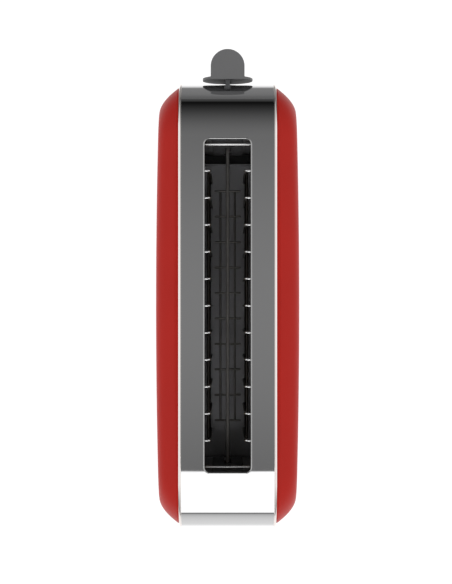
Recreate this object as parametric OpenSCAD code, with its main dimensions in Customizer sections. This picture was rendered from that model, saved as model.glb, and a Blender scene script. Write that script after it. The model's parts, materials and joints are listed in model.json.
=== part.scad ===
// Long-slot pop-up toaster: one bread slot in a steel band, a domed shell on each side.
// +Z is up, the slot runs along Y, the lever is at the +Y end and the table is at z = 0.

/* [Body] */
// Length of the bread slot
slot_len = 260; // [200:1:320]
// Width of the bread slot
slot_w = 36; // [30:0.5:46]
// Flat land of the top beyond each end of the slot
slot_end_land = 2; // [2:0.5:10]
// Height of the flat top above the table
body_h = 190; // [170:1:230]
// Radius of the top corners, seen from the side
top_r = 45; // [36:1:56]
// Radius of the bottom corners, seen from the side
bottom_r = 25; // [22:1:32]
// Thickness of the steel band
band_t = 1; // [0.8:0.1:1.2]

/* [Sides] */
// Width of each chrome trim strip
strip_w = 2; // [1.5:0.5:5]
// How far the strips stand proud of the band
strip_proud = 1.5; // [0.8:0.1:2.5]
// Depth of the strips below the band's surface
strip_depth = 5; // [3:0.5:6]
// How far each side shell's outline stands in from the band's
shell_set = 2.5; // [0:0.5:4]
// Straight lip of each side shell, beside its strip
shell_lip = 1; // [0.5:0.5:3]
// Depth of a shell's rounded edge
shell_edge = 14.4; // [10:0.2:24]
// Rise of a shell's gentle crown, from its edge to its middle
shell_crown = 4; // [2:0.5:8]
// Wall of a side shell
shell_wall = 2.5; // [2:0.1:3]

/* [Heating] */
// Gap from the slot's side to the mica board
mica_gap = 6; // [5:0.5:9]
// Gap from the mica board to the reflector
reflector_gap = 5; // [4:0.5:8]
// Thickness of a mica board
mica_t = 0.8; // [0.5:0.1:1.2]
// Turns of heating ribbon on each board
ribbon_runs = 14; // [8:2:20]

/* [Bread guards] */
// Wires in each guard
guard_wires = 11; // [7:2:15]
// Distance from the slot's end to the first guard wire
guard_end = 24; // [20:0.5:40]
// Diameter of a guard wire
guard_d = 1.8; // [1.4:0.1:2.4]
// How far each guard stands inside the slot's side while the carriage is up
guard_set = 5; // [3:0.5:6]
// How far each guard moves in as the carriage goes down
guard_close = 5; // [3:0.5:6]

/* [Lever] */
// Radius of the round knob plate
disc_r = 20; // [16:0.5:22]
// Thickness of the knob plate and of its tab
disc_t = 2.2; // [1.6:0.1:3]
// Height of the tab above the centre of the knob plate
tab_rise = 14.8; // [10:0.1:15]
// Reach of the tab
tab_len = 24; // [16:0.5:32]
// Depth of the tab's top face below the body's top
tab_drop = 26.2; // [20:0.2:32]
// Gap between the knob plate and the end face
disc_gap = 3; // [2.8:0.1:6]
// Thickness of the lever arm
arm_t = 3.6; // [2.4:0.1:5]

/* [Controls] */
// Radius of the browning knob
knob_r = 14; // [11:0.5:16]
// Length of the browning knob
knob_len = 9; // [6:0.5:9.5]
// Radius of a push button
button_r = 5; // [4:0.1:5.5]
// Distance between push buttons
button_pitch = 20; // [14:0.5:21]
// Push of a button
button_push = 2; // [1.5:0.1:2.5]
// Radius of the bore in the cord gland
cord_bore_r = 3.6; // [3:0.1:4.5]

/* [Base] */
// Height of the rubber feet
foot_h = 6; // [4:0.5:12]
// Radius of a foot
foot_r = 9; // [6:0.5:11]
// Floor thickness of the base
floor_t = 3; // [2.5:0.5:4]
// Wall thickness of the base
base_wall = 2.5; // [2:0.5:3]
// Depth of the crumb tray
tray_h = 10; // [8:0.5:12]
// Thickness of the tray's sheet
tray_t = 0.8; // [0.6:0.1:1.2]

/* [Hidden] */

$fn = 64;
fit = 0.3; // gap between pieces that move past each other
seat = 0.2; // gap around a piece that is pushed into place
running = 0.05; // radial gap of a running fit
over = 1; // how far a cutter runs past the face it cuts

// Along the body
plate_y = slot_len / 2 + slot_end_land; // inner face of each end plate
flat_y = plate_y; // where the flat top ends
half_len = flat_y + top_r; // end face of the band
plate_t = 1.2;

// Across the body
mica_x = slot_w / 2 + mica_gap;
reflector_x = mica_x + reflector_gap;
sheet_t = 0.8;
panel_gap = 5.5; // air behind the reflector
panel_x = reflector_x + sheet_t + panel_gap;
panel_t = 1.2;
strip_x = panel_x + panel_t; // also half the width of the band
rim_x = strip_x + strip_w;

// Up the body
bottom_z = foot_h;
split_z = bottom_z + bottom_r; // lower edge of the band
floor_z = bottom_z + floor_t;
deck_z = body_h - band_t; // underside of the flat top
mid_z = (bottom_z + body_h) / 2;
tray_gap = 2.5; // space over the tray's rim
tray_z = floor_z + 0.4;
flange_z = tray_z + tray_h + tray_gap;
flange_reach = 20;
chamber_z = flange_z + plate_t + 7; // lower edge of the mica boards
mica_top = body_h - 12;
collar_h = 8; // how far the slot frame reaches down

// Controls, stacked upwards from the lower edge of the end face
knob_z = split_z + 18;
button_z = knob_z + knob_r + button_r + 4;
bezel_t = 1.6;
bezel_edge = 3;
bezel_top = button_z + button_r + bezel_edge;
bezel_low = knob_z - knob_r - bezel_edge;
bezel_half = button_pitch + button_r + 5;

// Lever and carriage
tab_z = body_h - tab_drop; // top face of the tab
disc_z = tab_z - tab_rise;
disc_y = half_len + disc_gap;
lift_travel = disc_z - disc_r - bezel_top - fit; // the knob plate stops just over the bezel
arm_top = tab_z - 1.2;
arm_low = tab_z - 9;
arm_slot_gap = 1;
board_top = min(arm_low - lift_travel - 3, bezel_top + 6);
board_low = flange_z + plate_t + 4;
magnet_top = flange_z + plate_t + 12.5;
guard_open = slot_w / 2 - guard_set;
guard_pitch = (slot_len - 2 * guard_end) / (guard_wires - 1);
slider_low = magnet_top + fit + 2 + lift_travel;
slider_h = 24;
lifter_low = chamber_z + 16;
lifter_z = lifter_low + lift_travel;
rod_r = 3;
rod_x = -10;
rod_y = plate_y + 14;
bracket_y = plate_y + plate_t + 3.8;
bracket_t = 1.5;
lug_z = body_h - 14;
spring_wire_r = 0.5;
spring_r = rod_r + 1.6;
spring_turns = 9;

// Control electronics
carrier_t = 2.5;
carrier_y = half_len - band_t; // front face of the carrier
board_y = half_len - 17;
board_t = 1.6;
switch_h = 2.4;
shaft_r = 3;

// Base
post_r = 3.2;
post_x = panel_x - post_r - 1.6;
post_y = plate_y + 7;
base_inner = strip_x - base_wall - seat; // half width of what sits down inside the base
tray_half = post_x - post_r - 0.8;
tray_front = plate_y - 8;
tray_rear = -(half_len - 15);
screw_r = 1.75;
shell_screw_r = 1.6;
shell_screw_y = plate_y - 12;

// Draws a side-view outline and gives it thickness from x0 to x1.
module along_x(x0, x1)
    translate([x0, 0, 0]) rotate([90, 0, 90]) linear_extrude(x1 - x0) children();

// Gives a shape drawn in x and z thickness from y0 to y1.
module along_y(y0, y1)
    translate([0, y1, 0]) rotate([90, 0, 0]) linear_extrude(y1 - y0) children();

module box(low, high) translate(low) cube(high - low);

module rod_along_y(x, z, y0, y1, r)
    translate([x, y0, z]) rotate([-90, 0, 0]) cylinder(h = y1 - y0, r = r);

module rod_along_x(y, z, x0, x1, r)
    translate([x0, y, z]) rotate([0, 90, 0]) cylinder(h = x1 - x0, r = r);

module rod_along_z(x, y, z0, z1, r) translate([x, y, z0]) cylinder(h = z1 - z0, r = r);

module both_ends() for (s = [0, 1]) mirror([0, s, 0]) children();

module both_sides() for (s = [0, 1]) mirror([s, 0, 0]) children();

// The body's side view, drawn smaller by inset: tight bottom corners and wide top ones.
module outline(inset = 0) {
    rt = top_r - inset;
    rb = bottom_r - inset;
    top_c = half_len - top_r;
    bottom_c = half_len - bottom_r;
    for (s = [-1, 1]) {
        translate([s * top_c, body_h - top_r]) circle(rt, $fn = 96);
        translate([s * bottom_c, bottom_z + bottom_r]) circle(rb, $fn = 96);
    }
    translate([-top_c, body_h - top_r]) square([2 * top_c, rt]);
    translate([-bottom_c, bottom_z + inset]) square([2 * bottom_c, rb]);
    translate([-half_len + inset, split_z]) square([2 * (half_len - inset), body_h - top_r - split_z]);
}

module rounded_rect(w, l, r) {
    translate([-w / 2 + r, -l / 2]) square([w - 2 * r, l]);
    translate([-w / 2, -l / 2 + r]) square([w, l - 2 * r]);
    for (x = [-1, 1], y = [-1, 1]) translate([x * (w / 2 - r), y * (l / 2 - r)]) circle(r);
}

// Steel band: flat top and both rounded ends in one bent sheet.
frame_r = 5;
frame_lip = 1.1; // how far the slot frame's flange covers the band
frame_wall = 0.8;
module steel_band() color("lightgray") difference() {
    along_x(-strip_x, strip_x) difference() {
        outline();
        outline(band_t);
        translate([-half_len, 0]) square([2 * half_len, split_z]);
    }
    translate([0, 0, deck_z - over]) linear_extrude(band_t + 2 * over)
        rounded_rect(slot_w + 2 * (frame_wall + seat), slot_len + 2 * (frame_wall + seat), frame_r);
    box([-arm_t / 2 - arm_slot_gap, half_len - 14, arm_low - lift_travel - 1.5],
        [arm_t / 2 + arm_slot_gap, half_len + over, arm_top + 4]);
    for (i = [-1:1])
        rod_along_y(i * button_pitch, button_z, half_len - band_t - over, half_len + over, button_r + fit);
    rod_along_y(0, knob_z, half_len - band_t - over, half_len + over, shaft_r + fit);
    rod_along_y(0, gland_z, -half_len - over, -half_len + band_t + over, gland_neck_r + seat);
}

// Slot frame: a thin raised rim with a collar that lines the slot's mouth.
module slot_frame() color("silver") difference() {
    union() {
        translate([0, 0, body_h]) linear_extrude(0.7)
            rounded_rect(slot_w + 2 * frame_lip, slot_len + 2 * frame_lip, frame_r);
        translate([0, 0, body_h - collar_h]) linear_extrude(collar_h)
            rounded_rect(slot_w + 2 * frame_wall, slot_len + 2 * frame_wall, frame_r);
    }
    translate([0, 0, body_h - collar_h - over]) linear_extrude(collar_h + 2 * over)
        rounded_rect(slot_w, slot_len, frame_r - frame_wall);
}

// Chrome strips: closed rings between the band and the shells.
module trim_strip() color("gainsboro") along_x(strip_x, rim_x) difference() {
    outline(-strip_proud);
    outline(strip_depth);
}

module trim_strip_right() trim_strip();

module trim_strip_left() mirror([1, 0, 0]) trim_strip();

// Side shells. The edge rises steeply from the rim and eases into the crowned face.
edge_run = min(22, bottom_r - shell_set - shell_wall - 0.5);
edge_power = 1.8;
edge_steps = [0, 1.2, 2.8, 5, 8, 12, 17, 22] * edge_run / 22;
centre_steps = [0.75, 0.45, 0.18];
arc_n = 9;
side_n = 3;
long_n = 12;

function crown(y, z) = shell_crown * (1 - pow(y / half_len, 2))
    * (1 - 0.5 * pow((z - mid_z) / (body_h - mid_z), 2));
function edge(e) = shell_edge * (1 - pow(1 - min(e / edge_run, 1), edge_power));
function shell_x(e, y, z) = rim_x + shell_lip + edge(e) + crown(y, z);
function arc_points(cy, cz, r, from, to) =
    [for (i = [0:arc_n]) let (a = from + (to - from) * i / arc_n) [cy + r * cos(a), cz + r * sin(a)]];
function between(a, b, n) = [for (i = [1:n - 1]) a + (b - a) * i / n];
function outline_points(e) =
    let (
        tc = half_len - top_r, bc = half_len - bottom_r,
        tz = body_h - top_r, rt = top_r - shell_set - e, rb = bottom_r - shell_set - e,
        a = arc_points(tc, tz, rt, 0, 90), b = arc_points(-tc, tz, rt, 90, 180),
        c = arc_points(-bc, split_z, rb, 180, 270), d = arc_points(bc, split_z, rb, 270, 360)
    )
    concat(a, between(a[arc_n], b[0], long_n), b, between(b[arc_n], c[0], side_n),
        c, between(c[arc_n], d[0], long_n), d, between(d[arc_n], a[0], side_n));
function raised(pts, e, drop) =
    [for (p = pts) [max(rim_x, shell_x(e, p[0], p[1]) - drop), p[0], p[1]]];
function shrunk(pts, k, drop) =
    [for (p = pts) let (y = p[0] * k, z = mid_z + (p[1] - mid_z) * k)
        [shell_x(edge_run, y, z) - drop, y, z]];
function skin(drop) = concat(
    [for (e = edge_steps) raised(outline_points(e + drop), e, drop)],
    [for (k = centre_steps) shrunk(outline_points(edge_run + drop), k, drop)]
);

module side_shell_skin() {
    outer = concat([[for (p = outline_points(0)) [rim_x, p[0], p[1]]]], skin(0));
    inner = skin(shell_wall);
    n = len(outer[0]);
    no = len(outer);
    ni = len(inner);
    rings = concat([for (i = [ni - 1:-1:0]) inner[i]], outer);
    caps = [[shell_x(edge_run, 0, mid_z) - shell_wall, 0, mid_z], [shell_x(edge_run, 0, mid_z), 0, mid_z]];
    total = ni + no;
    function at(r, i) = r * n + i % n;
    points = concat([for (r = rings, p = r) p], caps);
    faces = concat(
        [for (r = [0:total - 2], i = [0:n - 1]) [at(r, i), at(r, i + 1), at(r + 1, i + 1)]],
        [for (r = [0:total - 2], i = [0:n - 1]) [at(r, i), at(r + 1, i + 1), at(r + 1, i)]],
        [for (i = [0:n - 1]) [total * n, at(0, i + 1), at(0, i)]],
        [for (i = [0:n - 1]) [total * n + 1, at(total - 1, i), at(total - 1, i + 1)]]
    );
    polyhedron(points, faces, convexity = 6);
}

module side_shell() color("firebrick") side_shell_skin();

module side_shell_right() side_shell();

module side_shell_left() mirror([1, 0, 0]) side_shell();

// Posts inside the shells take the screws that hold the shells on.
shell_screw_z = [split_z + 29, body_h - 50];
post_bore = 14;
module shell_posts() color("firebrick") both_sides() difference() {
    for (y = [-1, 1] * shell_screw_y, z = shell_screw_z)
        rod_along_x(y, z, strip_x, shell_x(edge_run, y, z) - shell_wall - 0.5, 4.5);
    for (y = [-1, 1] * shell_screw_y, z = shell_screw_z)
        rod_along_x(y, z, strip_x - over, strip_x + post_bore, shell_screw_r + running);
}

// Side panels: steel walls that carry the strips and the shells.
module side_panel() color("darkgray") difference() {
    along_x(panel_x, strip_x) difference() {
        outline(band_t + seat);
        translate([-half_len, 0]) square([2 * half_len, split_z]);
    }
    for (y = [-1, 1] * shell_screw_y, z = shell_screw_z)
        rod_along_x(y, z, panel_x - over, strip_x + over, shell_screw_r + seat);
}

module side_panel_right() side_panel();

module side_panel_left() mirror([1, 0, 0]) side_panel();

module shell_screws() color("silver") both_sides()
    for (y = [-1, 1] * shell_screw_y, z = shell_screw_z) {
        rod_along_x(y, z, panel_x - 1.6, panel_x, 3.2);
        rod_along_x(y, z, panel_x - over, strip_x + 12, shell_screw_r);
    }

// Base: a black tub under the band, with posts for the end plates and a mouth for the tray.
foot_x = strip_x - foot_r - 2.5;
foot_y = post_y - foot_r - 9;
stud_r = 3;
vent_w = 3;
vent_pitch = 16;
vents = 11;
module base() color([0.1, 0.1, 0.1]) difference() {
    union() {
        difference() {
            along_x(-strip_x, strip_x) difference() {
                outline();
                translate([-half_len, split_z]) square([2 * half_len, body_h]);
            }
            along_x(-strip_x + base_wall, strip_x - base_wall) difference() {
                outline(base_wall);
                translate([-half_len, 0]) square([2 * half_len, floor_z]);
            }
        }
        both_ends() for (x = [-1, 1] * post_x) rod_along_z(x, post_y, floor_z - over, flange_z, post_r);
    }
    both_ends() for (x = [-1, 1] * post_x) {
        rod_along_z(x, post_y, bottom_z - over, flange_z + over, screw_r + seat);
        rod_along_z(x, post_y, bottom_z - over, bottom_z + 2, 3.6);
    }
    for (x = [-1, 1] * foot_x, y = [-1, 1] * foot_y)
        rod_along_z(x, y, bottom_z - over, floor_z + over, stud_r + running);
    box([-tray_half - 0.7, -half_len - over, tray_z - 0.1],
        [tray_half + 0.7, -half_len + bottom_r, tray_z + tray_h + 2]);
    for (i = [0:vents - 1], x = [-1, 1])
        translate([x * 10, (i - (vents - 1) / 2) * vent_pitch, bottom_z - over])
            linear_extrude(floor_t + 2 * over) rounded_rect(13, vent_w, vent_w / 2 - 0.01);
}

module rubber_feet() color([0.15, 0.15, 0.15])
    for (x = [-1, 1] * foot_x, y = [-1, 1] * foot_y) {
        translate([x, y, 0]) rotate_extrude() polygon([
            [0, 0.6], [foot_r - 4, 0.6], [foot_r - 3.4, 0], [foot_r - 1.2, 0], [foot_r - 0.6, 0.6],
            [foot_r, bottom_z], [0, bottom_z]
        ]);
        rod_along_z(x, y, bottom_z - over, floor_z - 0.2, stud_r);
    }

module base_screws() color("silver") both_ends()
    for (x = [-1, 1] * post_x) difference() {
        union() {
            rod_along_z(x, post_y, bottom_z + 0.3, bottom_z + 2, 3.3);
            rod_along_z(x, post_y, bottom_z + 1, flange_z + plate_t + 2, screw_r);
        }
        for (a = [0, 90]) translate([x, post_y, bottom_z]) rotate(a) cube([4, 0.8, 2], center = true);
    }

// End plates close the heating chamber and carry the rod, the magnet and the switch.
arm_gap = 3; // half of the slot that the lifter's arm runs in
tab_h = 20; // height of a mica board's tab
tab_low = [chamber_z + 10, mica_top - 30];
side_duct = [reflector_x + sheet_t + 0.4, panel_x - 0.4];
module end_plate() {
    difference() {
        union() {
            box([-panel_x + seat, plate_y, split_z + seat],
                [panel_x - seat, plate_y + plate_t, deck_z - 0.5]);
            box([-base_inner, plate_y, flange_z], [base_inner, plate_y + plate_t, split_z + over]);
            box([-base_inner, plate_y, flange_z],
                [base_inner, plate_y + flange_reach + 3, flange_z + plate_t]);
        }
        for (x = [-1, 1] * post_x) rod_along_z(x, post_y, flange_z - over, flange_z + 3, screw_r + running);
        box([-arm_gap, plate_y - over, lifter_low - 6],
            [arm_gap, plate_y + plate_t + over, lifter_z + 8]);
        both_sides() for (z = tab_low)
            box([mica_x - seat, plate_y - over, z - seat],
                [mica_x + mica_t + seat, plate_y + plate_t + over, z + tab_h + seat]);
        both_sides() for (i = [0:4])
            box([side_duct[0], plate_y - over, chamber_z + 10 + i * 22],
                [side_duct[1], plate_y + plate_t + over, chamber_z + 24 + i * 22]);
    }
}

module end_plate_front() color("darkgray") difference() {
    union() {
        end_plate();
        box([rod_x - 7, plate_y, lug_z], [rod_x + 6, rod_y + rod_r + 3, lug_z + plate_t]);
    }
    rod_along_z(rod_x, rod_y, lug_z - over, lug_z + 3, rod_r + running);
    rod_along_z(rod_x, rod_y, flange_z - over, flange_z + 3, rod_r + running);
}

module end_plate_rear() color("darkgray") mirror([0, 1, 0]) end_plate();

// Shallow channels on the end plates that keep the bread clear of them.
guide_half = guard_open - 0.5;
guide_rise = 1.8;
guide_t = 0.7;
module end_guides() color("dimgray") both_ends() difference() {
    box([-guide_half, plate_y - guide_rise, chamber_z + 4],
        [guide_half, plate_y, body_h - collar_h - 6]);
    box([-guide_half + guide_t, plate_y - guide_rise + guide_t, chamber_z + 3],
        [guide_half - guide_t, plate_y + over, body_h - collar_h - 6 - guide_t]);
    box([-arm_gap, plate_y - guide_rise - over, lifter_low - 6],
        [arm_gap, plate_y + over, lifter_z + 8]);
}

rod_rest_y = plate_y - 5.2;
rod_rest_z = body_h - collar_h - 4;
rest_r = 1;
module guard_support_rods() color("silver") both_ends()
    rod_along_x(rod_rest_y, rod_rest_z, -mica_x - mica_t - 0.5, mica_x + mica_t + 0.5, rest_r);

// Reflectors behind the boards, with rows of louvres.
louvre_rows = 4;
louvre_cols = 5;
module reflector() color("lightgray") difference() {
    box([reflector_x, -plate_y, chamber_z - 4], [reflector_x + sheet_t, plate_y, mica_top + 4]);
    for (i = [0:louvre_rows - 1], j = [0:louvre_cols - 1]) {
        z = chamber_z + 16 + i * (mica_top - chamber_z - 32) / (louvre_rows - 1);
        y = (j - (louvre_cols - 1) / 2) * (slot_len / louvre_cols);
        box([reflector_x - over, y - 18, z - 2], [reflector_x + sheet_t + over, y + 18, z + 2]);
    }
}

module reflector_right() reflector();

module reflector_left() mirror([1, 0, 0]) reflector();

// Mica boards: tabs at both ends sit in the end plates.
module mica_board() color("tan") difference() {
    union() {
        box([mica_x, -plate_y + seat, chamber_z], [mica_x + mica_t, plate_y - seat, mica_top]);
        for (z = tab_low)
            box([mica_x, -plate_y - plate_t - 2, z], [mica_x + mica_t, plate_y + plate_t + 2, z + tab_h]);
    }
    both_ends() box([mica_x - over, rod_rest_y - rest_r - 0.1, rod_rest_z - rest_r],
        [mica_x + mica_t + over, rod_rest_y + rest_r + 0.1, mica_top + over]);
}

module mica_board_right() mica_board();

module mica_board_left() mirror([1, 0, 0]) mica_board();

// Heating ribbon: level runs joined at alternate ends, so the current has one path.
ribbon_t = 0.3;
ribbon_w = 1.4;
ribbon_half = plate_y - 14;
ribbon_step = (mica_top - chamber_z - 20) / (ribbon_runs - 1);
module heating_wire() color([0.55, 0.5, 0.45]) {
    x0 = mica_x - ribbon_t;
    for (i = [0:ribbon_runs - 1]) {
        z = chamber_z + 10 + i * ribbon_step;
        box([x0, -ribbon_half, z], [mica_x, ribbon_half, z + ribbon_w]);
        y = i % 2 == 0 ? ribbon_half - ribbon_w : -ribbon_half;
        if (i < ribbon_runs - 1) box([x0, y, z], [mica_x, y + ribbon_w, z + ribbon_step + ribbon_w]);
    }
}

module heating_wire_right() heating_wire();

module heating_wire_left() mirror([1, 0, 0]) heating_wire();

// Guards: upright wires, bent outwards at the top, on three long rails.
guard_r = guard_d / 2;
guard_x = guard_open + guard_r;
guard_top = body_h - collar_h - 1.6 - guard_r;
guard_low = chamber_z + 4;
rail_r = 1.2;
guard_half = (guard_wires - 1) / 2 * guard_pitch;
rail_z = [guard_low + 4, lifter_z + 12];
hook_end = mica_x - ribbon_t - 1; // outer end of each hook, short of the windings
hook_rail = [hook_end - rail_r - 0.3, guard_top - guard_r - rail_r + 0.3]; // rail under the hooks
module guard() color("silver") {
    for (i = [0:guard_wires - 1]) {
        y = i * guard_pitch - guard_half;
        rod_along_z(guard_x, y, guard_low, guard_top, guard_r);
        translate([guard_x, y, guard_top]) sphere(guard_r);
        rod_along_x(y, guard_top, guard_x, hook_end, guard_r);
    }
    for (z = rail_z) rod_along_y(guard_x + guard_r + rail_r - 0.3, z, -guard_half - 4, guard_half + 4, rail_r);
    rod_along_y(hook_rail[0], hook_rail[1], -guard_half - 4, guard_half + 4, rail_r);
}

module guard_right() guard();

module guard_left() mirror([1, 0, 0]) guard();

// Bread lifter: a ladder of short wires across one long bar.
lifter_half = guard_open - 2;
bar_w = 3;
bar_h = 4;
module bread_lifter() color("silver") {
    box([-bar_w / 2, -plate_y - plate_t - 6, lifter_z - bar_h], [bar_w / 2, bracket_y, lifter_z]);
    for (i = [0:guard_wires - 2]) {
        y = (i + 0.5) * guard_pitch - guard_half;
        rod_along_x(y, lifter_z - guard_r - 0.4, -lifter_half, lifter_half, guard_r);
    }
    for (s = [-1, 1]) rod_along_y(s * (guard_open - guard_close - 2), lifter_z - guard_r - 0.4,
        -guard_half + guard_pitch / 2, guard_half - guard_pitch / 2, guard_r);
}

// Carriage, which runs on the guide rod.
bracket_low = min(slider_low - 2, lifter_z - bar_h - 3);
bracket_top = max(slider_low + slider_h, lifter_z + 3);
module carriage_bracket() color("darkgray")
    box([-16, bracket_y, bracket_low], [21, bracket_y + bracket_t, bracket_top]);

module carriage_slider() color([0.85, 0.84, 0.8]) difference() {
    box([rod_x - 6.5, bracket_y + bracket_t, slider_low], [rod_x + 6.5, rod_y + rod_r + 4, slider_low + slider_h]);
    rod_along_z(rod_x, rod_y, slider_low - over, slider_low + slider_h + over, rod_r + running);
}

module latch_plate() color("gray")
    box([4, bracket_y + bracket_t, slider_low - 2], [20, rod_y + 7, slider_low]);

module lever_arm() color("dimgray") {
    box([-arm_t / 2, bracket_y + bracket_t, bracket_low + 4], [arm_t / 2, bracket_y + bracket_t + 9, arm_top]);
    box([-arm_t / 2, bracket_y + bracket_t, arm_low], [arm_t / 2, disc_y, arm_top]);
}

// Lever knob: a round plate cut off level, with a tab bent out from the cut.
tab_half = sqrt(disc_r * disc_r - tab_rise * tab_rise);
module lever_knob() color("dimgray") {
    along_y(disc_y, disc_y + disc_t) difference() {
        translate([0, disc_z]) circle(disc_r, $fn = 96);
        translate([-disc_r, tab_z]) square(2 * disc_r);
    }
    translate([0, 0, tab_z - disc_t]) linear_extrude(disc_t) intersection() {
        hull() for (y = [0, tab_len - tab_half]) translate([0, disc_y + y]) circle(tab_half, $fn = 96);
        translate([-tab_half, disc_y]) square([2 * tab_half, tab_len]);
    }
}

module guide_rod() color("silver") rod_along_z(rod_x, rod_y, flange_z, lug_z + plate_t + 2, rod_r);

// Round wire of radius r along a path. Each ring of points stands square to the path.
function unit(v) = v / norm(v);
function heading(path, i) = unit(path[min(i + 1, len(path) - 1)] - path[max(i - 1, 0)]);
function ring_points(c, d, up, r, sides) =
    let (u = unit(cross(d, up)), v = cross(u, d))
    [for (j = [0:sides - 1]) let (b = 360 * j / sides) c + r * (u * cos(b) + v * sin(b))];

module wire(path, up, r, sides) {
    n = len(path) - 1;
    last = sides - 1;
    function at(i, j) = i * sides + j % sides;
    points = [for (i = [0:n], p = ring_points(path[i], heading(path, i), up, r, sides)) p];
    polyhedron(points, concat(
        [for (i = [0:n - 1], j = [0:last]) [at(i, j), at(i + 1, j + 1), at(i, j + 1)]],
        [for (i = [0:n - 1], j = [0:last]) [at(i, j), at(i + 1, j), at(i + 1, j + 1)]],
        [[for (j = [0:last]) at(0, j)], [for (j = [last:-1:0]) at(n, j)]]
    ), convexity = 10);
}

// Return spring, a helix round the rod.
spring_low = flange_z + plate_t + 0.4 + spring_wire_r;
spring_high = slider_low - 0.4 - spring_wire_r;
spring_steps = 14;
module return_spring() color("silver") {
    n = spring_turns * spring_steps;
    wire([for (i = [0:n]) let (a = 360 * i / spring_steps) [
        rod_x + spring_r * cos(a), rod_y + spring_r * sin(a),
        spring_low + (spring_high - spring_low) * i / n
    ]], [0, 0, 1], spring_wire_r, 6);
}

// Electromagnet: an E-shaped core with a wound bobbin on its middle leg.
core_z = flange_z + plate_t;
core_x = [5, 19];
core_y = [rod_y - 5, rod_y + 6];
leg_w = 3;
core_mid = (core_x[0] + core_x[1]) / 2;
module electromagnet_core() color("dimgray") {
    box([core_x[0], core_y[0], core_z], [core_x[1], core_y[1], core_z + 3]);
    for (x = [core_x[0], core_mid - leg_w / 2, core_x[1] - leg_w])
        box([x, core_y[0], core_z], [x + leg_w, core_y[1], magnet_top]);
}

module electromagnet_coil() color("peru") difference() {
    box([core_x[0] + leg_w + 0.2, core_y[0] - 2.2, core_z + 3.2],
        [core_x[1] - leg_w - 0.2, core_y[1] + 2.2, magnet_top - 1]);
    box([core_mid - leg_w / 2 - 0.1, core_y[0] - 0.2, core_z],
        [core_mid + leg_w / 2 + 0.1, core_y[1] + 0.2, magnet_top + over]);
}

// Main switch: a block on the flange with two springy contact leaves.
switch_x = [-base_inner + 0.3, -base_inner + 12.3];
switch_y = [rod_y - 4, rod_y + 8];
switch_top = core_z + 24;
module main_switch() color([0.25, 0.25, 0.25]) {
    box([switch_x[0], switch_y[0], core_z], [switch_x[1], switch_y[1], switch_top]);
    for (y = [switch_y[0] + 2, switch_y[1] - 4]) {
        box([switch_x[0] + 2, y, switch_top], [switch_x[0] + 3, y + 2, switch_top + 8]);
        box([switch_x[0] + 2, y, switch_top + 7.4], [switch_x[1] - 1, y + 2, switch_top + 8]);
    }
}

// Carrier behind the end face: holds the board, and guides the buttons.
carrier_low = split_z + 1;
carrier_top = bezel_top + 2;
board_half = bezel_half - 1;
standoff_z = [split_z + 5, button_z - 12];
module control_carrier() color([0.12, 0.12, 0.12]) difference() {
    union() {
        box([-bezel_half, carrier_y - carrier_t, carrier_low],
            [bezel_half, carrier_y, carrier_top]);
        for (x = [-1, 1] * (bezel_half - 4), z = standoff_z)
            rod_along_y(x, z, board_y + board_t, carrier_y - over, 2.5);
    }
    for (i = [-1:1])
        rod_along_y(i * button_pitch, button_z, carrier_y - carrier_t - over, carrier_y + over, button_r + fit);
    rod_along_y(0, knob_z, carrier_y - carrier_t - over, carrier_y + over, pot_bush_r + seat);
}

module control_bezel() color([0.06, 0.06, 0.06]) difference() {
    along_y(half_len, half_len + bezel_t) translate([0, (bezel_low + bezel_top) / 2])
        rounded_rect(2 * bezel_half, bezel_top - bezel_low, 5);
    for (i = [-1:1])
        rod_along_y(i * button_pitch, button_z, half_len - over, half_len + bezel_t + over, button_r + fit);
    rod_along_y(0, knob_z, half_len - over, half_len + bezel_t + over, shaft_r + fit);
}

module control_board() color("darkgreen")
    box([-board_half, board_y, board_low], [board_half, board_y + board_t, board_top]);

module board_components() color([0.2, 0.2, 0.22]) {
    box([-26, board_y - 4, button_z - 5], [-14, board_y, button_z + 5]);
    box([-9, board_y - 5, knob_z + 6], [9, board_y, knob_z + 18]);
    rod_along_y(18, knob_z + 8, board_y - 5.5, board_y, 4);
    rod_along_y(22, knob_z - 6, board_y - 5, board_y, 3);
    box([12, board_y - 2, knob_z + 18], [24, board_y, knob_z + 22]);
}

module button_switches() color([0.25, 0.25, 0.25]) for (i = [-1:1]) {
    box([i * button_pitch - 3, board_y + board_t, button_z - 3],
        [i * button_pitch + 3, board_y + board_t + switch_h - 0.8, button_z + 3]);
    rod_along_y(i * button_pitch, button_z, board_y + board_t, board_y + board_t + switch_h, 1.7);
}

// Potentiometer: body on the board, with its bush through the carrier.
pot_bush_r = 4.2;
pot_depth = 6.5;
shaft_back = board_y + board_t + 1.5;
knob_back = half_len + bezel_t + 0.4;
module browning_potentiometer() color("silver") difference() {
    union() {
        box([-8, board_y + board_t, knob_z - 8], [8, board_y + board_t + pot_depth, knob_z + 8]);
        rod_along_y(0, knob_z, board_y + board_t + pot_depth - over, carrier_y - fit, pot_bush_r);
    }
    rod_along_y(0, knob_z, shaft_back - 0.3, carrier_y + over, shaft_r + running);
}

module potentiometer_shaft() color("lightgray")
    rod_along_y(0, knob_z, shaft_back, knob_back + knob_len - 2.5, shaft_r);

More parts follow.
